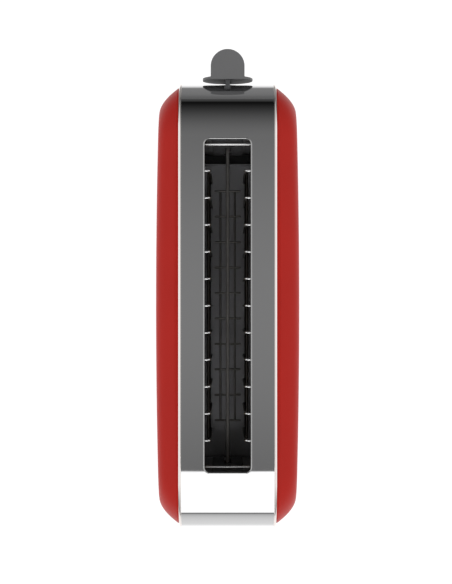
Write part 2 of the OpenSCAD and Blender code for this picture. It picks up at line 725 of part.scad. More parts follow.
// Browning knob: a fluted cap with a raised pointer.
flutes = 24;
module browning_knob() color([0.12, 0.12, 0.12]) difference() {
    translate([0, knob_back, knob_z]) rotate([-90, 0, 0]) rotate_extrude($fn = 96) polygon([
        [0, 0], [knob_r, 0], [knob_r, knob_len - 1.5], [knob_r - 1.5, knob_len], [0, knob_len]
    ]);
    for (i = [0:flutes - 1]) rotate_about_knob(360 * i / flutes)
        rod_along_y(knob_r + 0.5, 0, knob_back + 1.2, knob_back + knob_len + over, 1.0);
    rotate_about_knob(-90)
        box([knob_r * 0.45, knob_back + knob_len - 0.6, -0.7], [knob_r - 2.2, knob_back + knob_len + over, 0.7]);
    rod_along_y(0, knob_z, knob_back - over, knob_back + knob_len - 2.4, shaft_r + 0.02);
}

module rotate_about_knob(a) translate([0, 0, knob_z]) rotate([0, a, 0]) children();

// Push buttons: a round cap, a flange that keeps it in, and a plunger towards its switch.
button_proud = bezel_t + 0.9;
module button(i) {
    x = i * button_pitch;
    rod_along_y(x, button_z, carrier_y - carrier_t - 2, half_len + button_proud - 0.6, button_r);
    translate([x, half_len + button_proud - 0.6, button_z]) rotate([-90, 0, 0])
        cylinder(h = 0.6, r1 = button_r, r2 = button_r - 0.6);
    rod_along_y(x, button_z, carrier_y - carrier_t - 2.3, carrier_y - carrier_t - fit, button_r + 1.2);
    rod_along_y(x, button_z, board_y + board_t + switch_h + fit + button_push,
        carrier_y - carrier_t - 2, 2);
}

module cancel_button() color([0.3, 0.3, 0.3]) button(0);

module defrost_button() color([0.3, 0.3, 0.3]) button(-1);

module reheat_button() color([0.3, 0.3, 0.3]) button(1);

// Crumb tray: an open sheet tray with a handle that follows the body's rear corner.
handle_half = tray_half + 0.3;
module crumb_tray() color("silver") difference() {
    box([-tray_half, tray_rear, tray_z], [tray_half, tray_front, tray_z + tray_h]);
    box([-tray_half + tray_t, tray_rear + tray_t, tray_z + tray_t],
        [tray_half - tray_t, tray_front - tray_t, tray_z + tray_h + over]);
}

module tray_handle() color([0.1, 0.1, 0.1]) {
    intersection() {
        along_x(-handle_half, handle_half) outline();
        box([-handle_half, -half_len - over, tray_z + 0.2], [handle_half, tray_rear, tray_z + tray_h + 1.6]);
    }
    box([-handle_half + 8, -half_len - 3, tray_z + 4], [handle_half - 8, tray_rear - 3, tray_z + 8]);
}

// Cord gland: a bush in the rear face with a short relief sleeve.
gland_z = split_z + 14;
gland_neck_r = 6.2;
gland_out = 9;
gland_in = 9;
module cord_gland() color([0.08, 0.08, 0.08])
    translate([0, -half_len, gland_z]) rotate([90, 0, 0]) rotate_extrude() polygon([
        [cord_bore_r, -gland_in], [8, -gland_in], [8, -band_t - 0.1], [gland_neck_r, -band_t - 0.1],
        [gland_neck_r, 0.1], [8.5, 0.1], [8.5, 2], [6.6, 2.6], [5.4, gland_out], [cord_bore_r, gland_out]
    ]);

block_w = 18;
block_x = [-(post_x - screw_r - 1.75), -(post_x - screw_r - 1.75) + block_w];
block_y = [-plate_y - 20, -plate_y - 8];
block_top = core_z + 14;
port_x = [block_x[0] + 4.5, block_x[1] - 4.5];
port_y = (block_y[0] + block_y[1]) / 2;
port_z = block_top - 5;
module terminal_block() color([0.9, 0.88, 0.8]) difference() {
    box([block_x[0], block_y[0], core_z], [block_x[1], block_y[1], block_top]);
    for (x = port_x) rod_along_z(x, port_y, port_z, block_top + over, wire_r + 0.5);
}

// Two leads from the terminal block to the main switch, behind the left reflector.
wire_r = 1.3;
wire_x = -(side_duct[0] + side_duct[1]) / 2;
wire_gap = 0.7;
module internal_wiring() color("ivory") for (k = [0, 1]) {
    z = switch_top - wire_r - 0.2 - k * (2 * wire_r + wire_gap);
    x = port_x[1 - k];
    wire([
        [wire_x, switch_y[0], z], [wire_x, -plate_y - 2, z], [wire_x + 0.8, -plate_y - 6, z + 0.4],
        [wire_x + 2.6, -plate_y - 10, z + 0.9], [wire_x + 5.6, port_y + 0.6, z + 1.2],
        [x - 2.8, port_y, z + 0.9], [x - 0.9, port_y, z - 0.6], [x, port_y, z - 3.4], [x, port_y, port_z + 0.2]
    ], [1, 0.2, 0.5], wire_r, 10);
}

steel_band();
slot_frame();
side_shell_left();
side_shell_right();
trim_strip_left();
trim_strip_right();
base();
rubber_feet();
base_screws();
side_panel_left();
side_panel_right();
shell_posts();
shell_screws();
end_plate_front();
end_plate_rear();
end_guides();
guard_support_rods();
reflector_left();
reflector_right();
mica_board_left();
mica_board_right();
heating_wire_left();
heating_wire_right();
guard_left();
guard_right();
bread_lifter();
carriage_bracket();
carriage_slider();
latch_plate();
lever_arm();
lever_knob();
guide_rod();
return_spring();
electromagnet_core();
electromagnet_coil();
main_switch();
control_carrier();
control_bezel();
control_board();
board_components();
button_switches();
browning_potentiometer();
potentiometer_shaft();
browning_knob();
cancel_button();
defrost_button();
reheat_button();
crumb_tray();
tray_handle();
cord_gland();
terminal_block();
internal_wiring();
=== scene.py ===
"""Looks of a long-slot toaster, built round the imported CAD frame.

Bent sheet, round wire, trim and the domed shells are worked out as smooth surfaces from the
frame's boxes. Other visible parts are softened copies of their CAD nodes. Every part gets a
procedural finish. Lengths are in metres and +Z is up; the slot runs along Y.
"""
import json
import math

import bmesh
import bpy
import numpy as np
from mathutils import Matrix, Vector
from mathutils.geometry import delaunay_2d_cdt


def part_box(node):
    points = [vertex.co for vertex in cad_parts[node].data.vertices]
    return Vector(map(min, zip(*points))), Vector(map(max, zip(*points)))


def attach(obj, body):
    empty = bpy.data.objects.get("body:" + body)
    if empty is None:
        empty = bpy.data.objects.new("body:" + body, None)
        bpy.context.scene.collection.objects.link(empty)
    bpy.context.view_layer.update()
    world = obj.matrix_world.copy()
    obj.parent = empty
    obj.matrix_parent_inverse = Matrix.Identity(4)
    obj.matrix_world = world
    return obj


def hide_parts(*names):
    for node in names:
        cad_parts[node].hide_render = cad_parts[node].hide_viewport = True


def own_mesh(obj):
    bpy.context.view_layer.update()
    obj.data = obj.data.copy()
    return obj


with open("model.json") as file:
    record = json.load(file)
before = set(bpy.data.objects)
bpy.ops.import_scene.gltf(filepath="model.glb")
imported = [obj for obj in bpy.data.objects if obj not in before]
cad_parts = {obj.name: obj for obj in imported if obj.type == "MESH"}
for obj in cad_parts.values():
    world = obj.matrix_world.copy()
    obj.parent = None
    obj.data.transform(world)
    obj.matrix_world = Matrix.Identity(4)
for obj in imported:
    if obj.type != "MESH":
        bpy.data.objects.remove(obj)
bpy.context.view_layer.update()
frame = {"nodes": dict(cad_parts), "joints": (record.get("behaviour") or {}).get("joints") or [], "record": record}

MM = 0.001
record = frame["record"]
BODY_OF = {n: body for body, nodes in record["behaviour"]["bodies"].items() for n in nodes}
SLOT_OF = {part["node"]: part["material_slot"] for part in record["subparts"]}

# ---- Sizes, from the frame ------------------------------------------------------------------

band_low, band_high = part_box("steel_band")
shell_low, shell_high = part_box("side_shell_right")
strip_low, strip_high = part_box("trim_strip_right")
frame_low, frame_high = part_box("slot_frame")
HALF_LEN = band_high.y
HALF_BAND = band_high.x
TOP_Z = band_high.z
SPLIT_Z = band_low.z  # lower edge of the band
PROUD = strip_high.y - HALF_LEN  # how far the strips stand beyond the band
BOTTOM_Z = strip_low.z + PROUD
MID_Z = (TOP_Z + BOTTOM_Z) / 2
FLAT_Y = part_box("reflector_left")[1].y  # where the flat top starts to bend
TOP_R = HALF_LEN - FLAT_Y  # radius of the bends at the top
BOTTOM_R = SPLIT_Z - BOTTOM_Z  # radius of the body's lower corners
CARRIAGE_TRAVEL = max(
    joint["range_m"][1] for joint in frame["joints"] if joint["name"] == "carriage_slide")

# ---- Shapes ---------------------------------------------------------------------------------


def rounded_loop(corners, inset, arc_steps, straight_steps):
    """Closed outline (u, v) of four rounded corners, anticlockwise from the upper right one.
    A corner (u, v, r) is a quarter circle of radius r - inset about (u, v): its points are
    u + (r - inset) cos t, v + (r - inset) sin t. Straight lines join each corner to the next."""
    turn = np.linspace(0, math.pi / 2, arc_steps + 1)
    arcs = [
        np.stack([u + (r - inset) * np.cos(turn + k * math.pi / 2),
                  v + (r - inset) * np.sin(turn + k * math.pi / 2)], 1)
        for k, (u, v, r) in enumerate(corners)
    ]
    pieces = []
    for k, arc in enumerate(arcs):
        share = np.linspace(0, 1, straight_steps[k] + 1)[1:-1, None]
        pieces += [arc, arc[-1] + share * (arcs[(k + 1) % 4][0] - arc[-1])]
    return np.vstack(pieces)


def body_outline(inset):
    """Side view (y, z) of the body: wide corners at the top and tight ones at the bottom."""
    arc_steps, long_steps, end_steps = 28, 40, 8
    top = FLAT_Y, TOP_Z - TOP_R, TOP_R
    bottom = HALF_LEN - BOTTOM_R, SPLIT_Z, BOTTOM_R
    corners = [top, (-top[0], *top[1:]), (-bottom[0], *bottom[1:]), bottom]
    return rounded_loop(corners, inset, arc_steps, [long_steps, end_steps] * 2)


def rounded_rect(half_u, half_v, r, inset, arc_steps, steps, middle=(0, 0)):
    """Outline (u, v) of a rectangle with round corners, about a middle point."""
    u, v = half_u - r, half_v - r
    corners = [(u, v, r), (-u, v, r), (-u, -v, r), (u, -v, r)]
    return rounded_loop(corners, inset, arc_steps, [*steps] * 2) + middle


def loft(rings, ends="capped"):
    """Surface through rings of points, each ring closed on itself. Quads join each ring to the
    next. The first and last ring are capped by a fan to their middle, or join up (loop)."""
    m, n = rings.shape[:2]
    i = np.arange(m if ends == "loop" else m - 1)[:, None]
    j = np.arange(n)[None, :]

    def at(i, j):
        return i % m * n + j % n

    quads = np.stack([at(i, j), at(i, j + 1), at(i + 1, j + 1), at(i + 1, j)], -1)
    faces = quads.reshape(-1, 4).tolist()
    verts = rings.reshape(-1, 3)
    if ends == "capped":
        verts = np.vstack([verts, rings[0].mean(0), rings[-1].mean(0)])
        k = np.arange(n)
        faces += np.stack([0 * k + m * n, at(0, k + 1), at(0, k)], -1).tolist()
        faces += np.stack([0 * k + m * n + 1, at(m - 1, k), at(m - 1, k + 1)], -1).tolist()
    return verts, faces


def joined(parts):
    """Several (points, faces) surfaces as one."""
    starts = np.cumsum([0] + [len(verts) for verts, _ in parts[:-1]]).tolist()
    faces = [[v + start for v in face] for (_, part), start in zip(parts, starts) for face in part]
    return np.vstack([verts for verts, _ in parts]), faces


def bent(points, radius, steps=8):
    """Straight runs joined by round bends. At an inner corner C the path leaves the first run
    at A and joins the next at B, both a radius away, along (1-t)^2 A + 2t(1-t) C + t^2 B."""
    points = np.array(points, float)
    t = np.linspace(0, 1, steps + 1)[:, None]
    path = [points[:1]]
    for before, corner, after in zip(points, points[1:], points[2:]):
        a = corner + radius * (before - corner) / np.linalg.norm(before - corner)
        b = corner + radius * (after - corner) / np.linalg.norm(after - corner)
        path.append((1 - t) ** 2 * a + 2 * t * (1 - t) * corner + t**2 * b)
    return np.vstack(path + [points[-1:]])


DOME_STEPS = 4  # rings in the dome at each end of a wire
POLE = 0.02  # share of a wire's radius that is left at the tip of its dome


def wire(path, radius, side, sides=14):
    """Round wire with domed ends. At each path point c the ring is c + r (cos a S + sin a D x S),
    with heading D and the side direction S square to it. At each end r falls along a quarter
    circle and the ring moves out by what it lost."""
    path = np.array(path, float)
    dome = np.linspace(0, math.pi / 2, DOME_STEPS + 1)[1:]
    first = (path[1] - path[0]) / np.linalg.norm(path[1] - path[0])
    last = (path[-1] - path[-2]) / np.linalg.norm(path[-1] - path[-2])
    start = path[0] + radius * first - radius * np.sin(dome[::-1, None]) * first
    end = path[-1] - radius * last + radius * np.sin(dome[:, None]) * last
    path[0] += radius * first
    path[-1] -= radius * last
    side = np.broadcast_to(side, path.shape)
    domed = [np.repeat(end_side, DOME_STEPS, 0) for end_side in (side[:1], side[-1:])]
    side = np.vstack([domed[0], side, domed[1]])
    size = np.concatenate([np.cos(dome[::-1]), np.ones(len(path)), np.cos(dome)]) * radius
    size = np.maximum(size, radius * POLE)[:, None, None]
    path = np.vstack([start, path, end])
    heading = np.gradient(path, axis=0)
    across = np.cross(heading, side)
    across /= np.linalg.norm(across, axis=1, keepdims=True)
    a = np.linspace(0, 2 * math.pi, sides, endpoint=False)[None, :, None]
    return loft(path[:, None] + size * (np.cos(a) * side[:, None] + np.sin(a) * across[:, None]))


def add_piece(name, surface, body, slot, *stands_for, crease=38, outwards=True, finish=None):
    """Makes the mesh of a (points, faces) surface, turns its faces outwards, shades it smooth
    but for edges sharper than the crease angle in degrees, and lets it ride its body. A finish
    of its own takes the place of its slot's."""
    verts, faces = surface
    mesh = bpy.data.meshes.new(name)
    mesh.from_pydata(verts.tolist(), [], faces)
    if outwards:
        work = bmesh.new()
        work.from_mesh(mesh)
        bmesh.ops.recalc_face_normals(work, faces=work.faces)
        work.to_mesh(mesh)
        work.free()
    mesh.shade_smooth()
    mesh.set_sharp_from_angle(angle=math.radians(crease))
    piece = bpy.data.objects.new(name, mesh)
    bpy.context.scene.collection.objects.link(piece)
    mesh.materials.append(FINISH[finish or slot])
    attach(piece, body)
    if stands_for:
        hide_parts(*stands_for)
    return piece


SAME_POINT = 2e-6  # corners closer than this, in metres, are one
SAME_PLANE, SMOOTH, ROUNDED = 0.4, 30, 40  # degrees: faces joined, shaded as one, edges rounded


def softened(node, edge):
    """Copy of a CAD node with its doubles merged, its flat faces joined and its edges rounded."""
    mesh = frame["nodes"][node].data.copy()
    mesh.name = node + "_soft"
    work = bmesh.new()
    work.from_mesh(mesh)
    bmesh.ops.remove_doubles(work, verts=work.verts, dist=SAME_POINT)
    bmesh.ops.dissolve_limit(
        work, angle_limit=math.radians(SAME_PLANE), verts=work.verts, edges=work.edges)
    work.to_mesh(mesh)
    work.free()
    mesh.shade_smooth()
    mesh.set_sharp_from_angle(angle=math.radians(SMOOTH))
    mesh.materials.clear()
    mesh.materials.append(FINISH[SLOT_OF[node]])
    piece = bpy.data.objects.new(mesh.name, mesh)
    bpy.context.scene.collection.objects.link(piece)
    bevel = piece.modifiers.new("edge", "BEVEL")
    bevel.width = edge
    bevel.segments = 2
    bevel.limit_method = "ANGLE"
    bevel.angle_limit = math.radians(ROUNDED)
    bevel.harden_normals = True
    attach(piece, BODY_OF[node])
    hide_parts(node)


# ---- Shader maths ---------------------------------------------------------------------------


class Value:
    """A shader socket that takes part in Python arithmetic: each operator adds a Math node."""

    def __init__(self, shader, socket):
        self.shader, self.socket = shader, socket

    def maths(self, operation, *values):
        return self.shader.node("Math", {"operation": operation}, enumerate(values))

    def __add__(self, other):
        return self.maths("ADD", self, other)

    def __sub__(self, other):
        return self.maths("SUBTRACT", self, other)

    def __rsub__(self, other):
        return self.maths("SUBTRACT", other, self)

    def __mul__(self, other):
        return self.maths("MULTIPLY", self, other)

    def __truediv__(self, other):
        return self.maths("DIVIDE", self, other)

    def __pow__(self, other):
        return self.maths("POWER", self, other)

    def __abs__(self):
        return self.maths("ABSOLUTE", self)

    __radd__, __rmul__ = __add__, __mul__

    def at_least(self, other):
        return self.maths("MAXIMUM", self, other)

    def clamped(self):
        return self.maths("MINIMUM", self.at_least(0.0), 1.0)

    def ramp(self, low, high):
        """0 below low, 1 above high and straight between them."""
        return ((self - low) / (high - low)).clamped()


class Shader:
    """The nodes of a material or of the world."""

    def __init__(self, owner):
        owner.use_nodes = True
        self.tree = owner.node_tree
        self.tree.nodes.clear()

    def node(self, kind, settings=(), sockets=(), out=0):
        """Adds a node of a type, with its settings, then the values or links of its sockets, and
        returns the output asked for, or a list of them for a tuple, which may be empty."""
        made = self.tree.nodes.new("ShaderNode" + kind)
        for key, value in dict(settings).items():
            setattr(made, key, value)
        for key, value in dict(sockets).items():
            if isinstance(value, Value):
                self.tree.links.new(value.socket, made.inputs[key])
            else:
                made.inputs[key].default_value = value
        if isinstance(out, tuple):
            return [Value(self, made.outputs[o]) for o in out]
        return Value(self, made.outputs[out])

    def place(self, stretch=(1, 1, 1)):
        """Object coordinates, drawn out or packed along each axis."""
        coordinates = self.node("TexCoord", out="Object")
        return self.node("Mapping", {}, {"Vector": coordinates, "Scale": stretch})

    def noise(self, size, detail, stretch=(1, 1, 1)):
        """Soft noise from 0 to 1 with features of about a size in metres."""
        sockets = {"Vector": self.place(stretch), "Scale": 1 / size, "Detail": detail}
        return self.node("TexNoise", {}, sockets)

    def mix(self, share, a, b):
        """Colour a where share is 0 and b where it is 1."""
        return self.node("Mix", {"data_type": "RGBA"}, {0: share, 6: a, 7: b}, out=2)

    def bump(self, height, depth):
        """Normal of a surface raised by a depth in metres where the height is 1."""
        return self.node("Bump", {}, {"Height": height, "Distance": depth, "Strength": 1.0})

    def surface(self, sockets):
        """The material's output: a Principled surface with these sockets."""
        body = self.node("BsdfPrincipled", {}, sockets)
        self.node("OutputMaterial", {}, {"Surface": body}, ())


def colour(r, g, b):
    return (r, g, b, 1.0)


def shade(rgb, factor):
    """A colour made lighter or darker by a factor."""
    return colour(*(min(1.0, c * factor) for c in rgb))


FINISH = {}  # each finish's material by its name


def new_finish(name):
    FINISH[name] = bpy.data.materials.new(name)
    return Shader(FINISH[name])


def polished_metal(name, rgb, rough, streak, haze, tone=0.97, depth=0.0):
    """Metal polished or brushed along its streak: fine drawn-out lines change its roughness and
    tone a little, and broad clouds stand for wiped haze."""
    s = new_finish(name)
    lines = s.noise(0.4 * MM, 4.0, streak)
    clouds = s.noise(38 * MM, 3.0)
    sockets = {
        "Base Color": s.mix(lines * 0.6 + clouds * 0.4, shade(rgb, tone), shade(rgb, 2 - tone)),
        "Metallic": 1.0,
        "Roughness": rough + haze * (clouds.ramp(0.45, 0.75) + lines.ramp(0.5, 0.8) * 0.5),
    }
    if depth:
        sockets["Normal"] = s.bump(lines, depth)
    s.surface(sockets)


def moulded_plastic(name, rgb, rough, grain, depth, mottle=0.12, specular=0.5, coat=0.0):
    """Moulded plastic or rubber: a fine grain in the skin, slow changes of tone, and slightly
    shinier patches where it is handled."""
    s = new_finish(name)
    skin = s.noise(grain, 2.0)
    slow = s.noise(22 * MM, 2.0)
    darker, lighter = shade(rgb, 1 - mottle), shade(rgb, 1 + mottle)
    s.surface({
        "Base Color": s.mix(slow * 0.7 + skin * 0.3, darker, lighter),
        "Roughness": rough + 0.12 * (slow - 0.5) + 0.08 * (skin - 0.5),
        "Specular IOR Level": specular,
        "Coat Weight": coat,
        "Coat Roughness": 0.08,
        "Normal": s.bump(skin, depth),
    })


def red_paint(name):
    """Satin red: powder paint with faint orange peel, slightly deeper in slow patches, and tiny
    lighter specks."""
    s = new_finish(name)
    peel = s.noise(1.4 * MM, 1.0)
    slow = s.noise(60 * MM, 2.0)
    speck = s.noise(0.5 * MM, 0.0).ramp(0.72, 0.8)
    body = s.mix(slow.ramp(0.3, 0.7), colour(*RED_DEEP), colour(*RED))
    s.surface({
        "Base Color": s.mix(speck * 0.12, body, colour(0.62, 0.09, 0.08)),
        "Roughness": 0.40 + 0.07 * (slow - 0.5) + 0.05 * (peel - 0.5),
        "Specular IOR Level": 0.12,
        "Normal": s.bump(peel, 0.012 * MM),
    })


def mica_sheet(name):
    """Mica: pressed flakes in amber and grey, cell by cell, glossier on some flakes."""
    s = new_finish(name)
    cell = s.node("TexVoronoi", {}, {"Vector": s.place(), "Scale": 1 / (5 * MM)}, out="Color")
    tone = s.node("SeparateColor", {}, {0: cell})
    cloud = s.noise(12 * MM, 4.0)
    brown, amber = colour(0.28, 0.19, 0.10), colour(0.60, 0.49, 0.32)
    s.surface({
        "Base Color": s.mix(tone * 0.6 + cloud * 0.4, brown, amber),
        "Roughness": 0.30 + 0.3 * tone,
        "Normal": s.bump(tone, 0.05 * MM),
    })


def depth_shaded_wire(name, bright, dark, low, high):
    """Wire with painted shade deep in the slot: dark below the low height and bright above the high
    one, with an uneven edge between them and a mottled dark tone."""
    s = new_finish(name)
    cloud = s.noise(9 * MM, 3.0)
    fine = s.noise(0.8 * MM, 2.0)
    height = s.node("SeparateXYZ", {}, {0: s.node("TexCoord", out="Object")}, out=2)
    # painted shade: the wire's colour turns dark lower down, deeper in the slot
    out_of_shade = (height + cloud * 4 * MM).ramp(low, high)
    painted_shade_tone = s.mix(cloud, shade(dark, 0.8), shade(dark, 1.3))
    s.surface({
        "Base Color": s.mix(out_of_shade, painted_shade_tone, colour(*bright)),
        "Metallic": 1.0,
        "Roughness": 0.44 - 0.22 * out_of_shade + 0.12 * (fine - 0.5),
        "Normal": s.bump(fine, 0.003 * MM),
    })


def wound_copper(name):
    """Enamelled wire laid turn on turn: rounded ridges as high as |sin| of the height; painted shade in the
    grooves.
    """
    s = new_finish(name)
    height = s.node("SeparateXYZ", {}, {0: s.node("TexCoord", out="Object")}, out=2)
    turn = 0.35 * MM  # height of one turn
    ridge = abs(height.maths("SINE", height * (math.pi / turn)))
    s.surface({
        # painted shade: the colour is darker in the grooves between turns
        "Base Color": s.mix(ridge, colour(0.24, 0.08, 0.03), colour(0.74, 0.33, 0.14)),
        "Metallic": 0.85,
        "Roughness": 0.42 - 0.15 * ridge,
        "Normal": s.bump(ridge, 0.12 * MM),
    })


def circuit_board(name):
    """Solder resist over copper: lighter tracks follow the edges of square cells."""
    s = new_finish(name)
    settings = {"distance": "MANHATTAN", "feature": "F1"}
    cells = s.node("TexVoronoi", settings, {"Vector": s.place(), "Scale": 1 / (4.5 * MM)})
    track = cells.ramp(0.52, 0.56) - cells.ramp(0.66, 0.70)
    s.surface({
        "Base Color": s.mix(track, colour(0.015, 0.10, 0.035), colour(0.05, 0.24, 0.09)),
        "Roughness": 0.34 - 0.06 * track,
        "Normal": s.bump(track, 0.03 * MM),
    })


def woven_sleeve(name):
    """Glass-fibre sleeve: two sets of slanting strands cross, over and under."""
    s = new_finish(name)
    settings = {"wave_type": "BANDS", "bands_direction": "DIAGONAL"}
    strands = 320.0  # scale of the bands
    over = s.node("TexWave", settings, {"Vector": s.place((1, 1, 1)), "Scale": strands})
    under = s.node("TexWave", settings, {"Vector": s.place((1, -1, 1)), "Scale": strands})
    weave = over.at_least(under)
    s.surface({
        "Base Color": s.mix(weave, colour(0.50, 0.47, 0.40), colour(0.84, 0.82, 0.75)),
        "Roughness": 0.75,
        "Normal": s.bump(weave, 0.1 * MM),
    })


STEEL = (0.60, 0.60, 0.605)
CHROME = (0.90, 0.84, 0.81)
RED = (0.590, 0.0222, 0.0145)
RED_DEEP = (0.555, 0.0209, 0.0136)
EVENLY = (1, 1, 1)
ALONG_Y = (1, 0.02, 1)  # a small scale draws the pattern out along its axis
ALONG_X = (0.02, 1, 1)
UPRIGHT = (1, 1, 0.03)
# colours of the painted shade on the guard and lifter wires deep in the slot
DARK_PAINTED_SHADE, LIGHT_PAINTED_SHADE = (0.10, 0.095, 0.09), (0.16, 0.155, 0.15)

polished_metal("polished_steel", STEEL, 0.008, ALONG_Y, 0.006, tone=0.985)
polished_metal("chrome", CHROME, 0.05, ALONG_Y, 0.03)
polished_metal("rim_chrome", (0.50, 0.50, 0.50), 0.10, ALONG_Y, 0.05)
polished_metal("wire_steel", (0.75, 0.75, 0.75), 0.24, EVENLY, 0.10, tone=0.9)
# guard and lifter wires, with painted shade below the given heights
depth_shaded_wire("guard_wire", (0.80, 0.80, 0.80), DARK_PAINTED_SHADE, 0.160, 0.172)
depth_shaded_wire("lifter_wire", (0.50, 0.50, 0.50), LIGHT_PAINTED_SHADE, 0.150, 0.190)
polished_metal("zinc_steel", (0.50, 0.50, 0.51), 0.30, UPRIGHT, 0.15, 0.85, 0.004 * MM)
polished_metal("dark_steel", (0.13, 0.13, 0.135), 0.34, UPRIGHT, 0.15, 0.8, 0.004 * MM)
polished_metal("reflector", (0.24, 0.24, 0.25), 0.30, UPRIGHT, 0.12, 0.9, 0.004 * MM)
polished_metal("nichrome", (0.28, 0.25, 0.22), 0.45, ALONG_Y, 0.15, 0.7)
polished_metal("core_iron", (0.20, 0.20, 0.21), 0.42, ALONG_X, 0.15, 0.7, 0.02 * MM)
red_paint("red_shell")
moulded_plastic("black_plastic", (0.022, 0.022, 0.023), 0.48, 0.5 * MM, 0.02 * MM)
moulded_plastic("gloss_black", (0.012, 0.012, 0.013), 0.14, 2 * MM, 0.003 * MM, coat=0.6)
moulded_plastic("rubber", (0.030, 0.030, 0.030), 0.78, 0.4 * MM, 0.04 * MM)
moulded_plastic("natural_plastic", (0.70, 0.68, 0.61), 0.45, 0.7 * MM, 0.01 * MM, 0.05)
moulded_plastic("knob_grey", (0.195, 0.195, 0.198), 0.46, 0.45 * MM, 0.01 * MM, 0.06, 0.3)
moulded_plastic("component_black", (0.05, 0.05, 0.055), 0.5, 0.4 * MM, 0.02 * MM)
moulded_plastic("button_grey", (0.18, 0.18, 0.19), 0.38, 0.5 * MM, 0.01 * MM, 0.06)
moulded_plastic("print", (0.62, 0.62, 0.60), 0.5, 0.3 * MM, 0.004 * MM, 0.05)
mica_sheet("mica")
wound_copper("copper")
circuit_board("board_green")
woven_sleeve("wire_cover")

for name, node in frame["nodes"].items():
    node.data.materials.clear()
    node.data.materials.append(FINISH[SLOT_OF[name]])

# ---- Side shells ----------------------------------------------------------------------------

SHELL_SET = HALF_LEN - shell_high.y  # how far the shell's outline stands in from the band's
SHELL_LIP = 1 * MM  # straight part beside the strip
SHELL_EDGE = 14.4 * MM  # rise of the rounded edge
SHELL_CROWN = 4 * MM  # rise of the flat's middle over the rounded edge
SHELL_WALL = 2.5 * MM
EDGE_RUN = 19.5 * MM  # width of the rounded edge
EDGE_POWER = 1.8
RIM_X = shell_low.x


def shell_x(e, y, z):
    """How far out the shell stands at inset e from its outline: rim, lip, an edge that rises as
    1 - (1 - e / run)^power, and a crown that falls off as y^2 and half as z^2."""
    across = 1 - 0.5 * ((z - MID_Z) / (TOP_Z - MID_Z)) ** 2
    crown = SHELL_CROWN * (1 - (y / HALF_LEN) ** 2) * across
    rise = SHELL_EDGE * (1 - (1 - np.minimum(e / EDGE_RUN, 1)) ** EDGE_POWER)
    return RIM_X + SHELL_LIP + rise + crown


def shell_ring(e, shrink, drop):
    """Ring of the outer skin, or of the inner one, which lies a wall's thickness inside it."""
    y, z = body_outline(SHELL_SET + e + drop).T
    y, z = y * shrink, MID_Z + (z - MID_Z) * shrink
    return np.stack([np.maximum(RIM_X, shell_x(e, y, z) - drop), y, z], 1)


def side_shell(sign):
    """Shell from the middle of its inner skin, over the rim, to the middle of its outer skin."""
    edge = EDGE_RUN * np.linspace(0, 1, 20) ** 1.7  # closer together towards the rim
    middle = np.linspace(0.94, 0.02, 14)  # then shrinking towards the shell's middle
    skins = [[shell_ring(e, 1, drop) for e in edge]
             + [shell_ring(EDGE_RUN, share, drop) for share in middle]
             for drop in (0, SHELL_WALL)]
    y, z = body_outline(SHELL_SET).T
    rim = np.stack([np.full_like(y, RIM_X), y, z], 1)
    rings = np.array(skins[1][::-1] + [rim] + skins[0])
    return loft(rings * (sign, 1, 1))


for side, sign in (("left", -1), ("right", 1)):
    add_piece(f"shell_{side}", side_shell(sign), "toaster_body", "red_shell",
              f"side_shell_{side}", crease=50)

# ---- Trim strips and slot frame -------------------------------------------------------------

STRIP_CREST = 0.2 * MM  # from the strip's inner side to its crest


def trim_strip(sign):
    """Bead carried round the body's outline. A short round rises beside the band, then a long
    slope falls outwards to the shell: over a share u of its width the height is
    proud - drop u^2. Both stand on straight sides."""
    crest = strip_low.x + STRIP_CREST
    fall, drop, foot = strip_high.x - crest, 0.9 * MM, 5 * MM
    t = np.linspace(0, math.pi / 2, 7)
    u = np.linspace(0, 1, 13)[1:]
    across = [[strip_low.x], crest - STRIP_CREST * np.cos(t), crest + fall * u, [strip_high.x]]
    height = [[-foot], PROUD - STRIP_CREST * (1 - np.sin(t)), PROUD - drop * u**2, [-foot]]
    across, height = np.concatenate(across), np.concatenate(height)
    outlines = np.array([body_outline(-h) for h in height]).transpose(1, 0, 2)
    x = np.broadcast_to(across[None, :, None], outlines.shape[:2] + (1,))
    return loft(np.concatenate([x, outlines], 2) * (sign, 1, 1), "loop")


for side, sign in (("left", -1), ("right", 1)):
    add_piece(f"strip_{side}", trim_strip(sign), "toaster_body", "chrome",
              f"trim_strip_{side}")


def slot_rim():
    """Lip and collar carried round the slot's mouth. The lip is a half ellipse that stands on
    the band, and the collar hangs from it inside the slot."""
    lip, wall, corner = 1.1 * MM, 0.8 * MM, 4.2 * MM
    rise, drop = frame_high.z - TOP_Z, frame_low.z - TOP_Z
    half_x, half_y = frame_high.x - lip, frame_high.y - lip
    t = np.linspace(0, math.pi, 13)
    out = np.concatenate([[0], lip / 2 * (1 - np.cos(t)), [lip, wall, wall]])
    up = np.concatenate([[drop], rise * np.sin(t), [0, 0, drop]])
    loops = np.array([rounded_rect(half_x, half_y, corner, -n, 12, (6, 40)) for n in out])
    loops = loops.transpose(1, 0, 2)
    heights = np.broadcast_to((TOP_Z + up)[None, :, None], loops.shape[:2] + (1,))
    return loft(np.concatenate([loops, heights], 2), "loop")


add_piece("slot_rim", slot_rim(), "toaster_body", "chrome", "slot_frame", finish="rim_chrome")

# ---- Steel band -----------------------------------------------------------------------------

